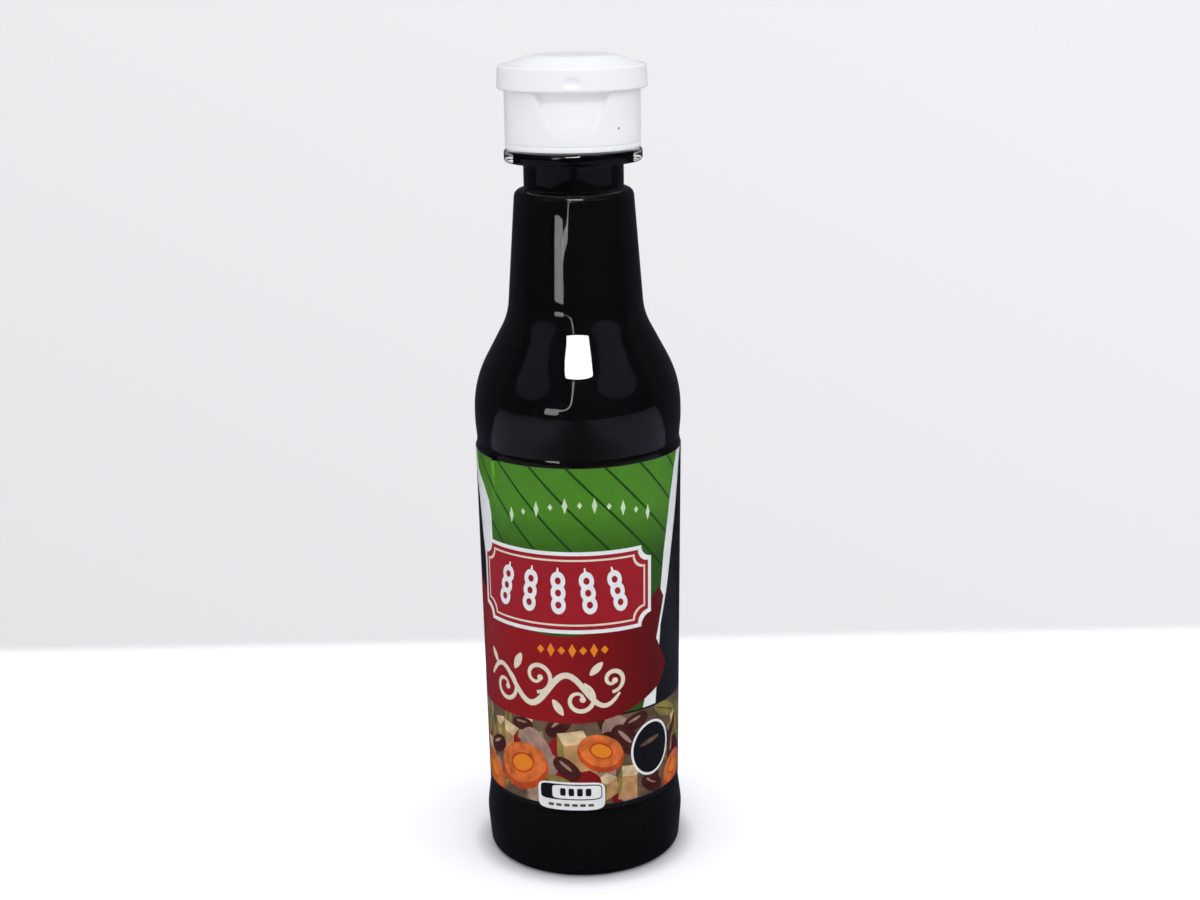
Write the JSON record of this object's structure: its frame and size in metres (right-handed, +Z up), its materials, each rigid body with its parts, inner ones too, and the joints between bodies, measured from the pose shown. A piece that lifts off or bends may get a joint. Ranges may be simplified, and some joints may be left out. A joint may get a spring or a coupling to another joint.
{
  "type": "soy sauce bottle",
  "caption": "Small clear plastic bottle of dark soy sauce with a round shoulder, a wrap-round printed label and a shut white flip-top cap.",
  "frame": {"origin": "centre of the flat ring that the bottle stands on", "axes": "+Z up along the bottle's axis; -Y towards the front of the label and of the lid; +X to the right as seen from the front"},
  "size_m": [0.042, 0.042, 0.1662],
  "materials": {
    "clear_plastic": "clear smooth moulded plastic",
    "sauce": "near-black liquid",
    "label": "printed film, semi-gloss",
    "white_plastic": "smooth white moulded plastic"
  },
  "bodies": {
    "root": {"bottle": "clear_plastic", "sauce": "sauce", "label": "label", "cap": "white_plastic", "cap_lid": "white_plastic"}
  },
  "joints": []
}
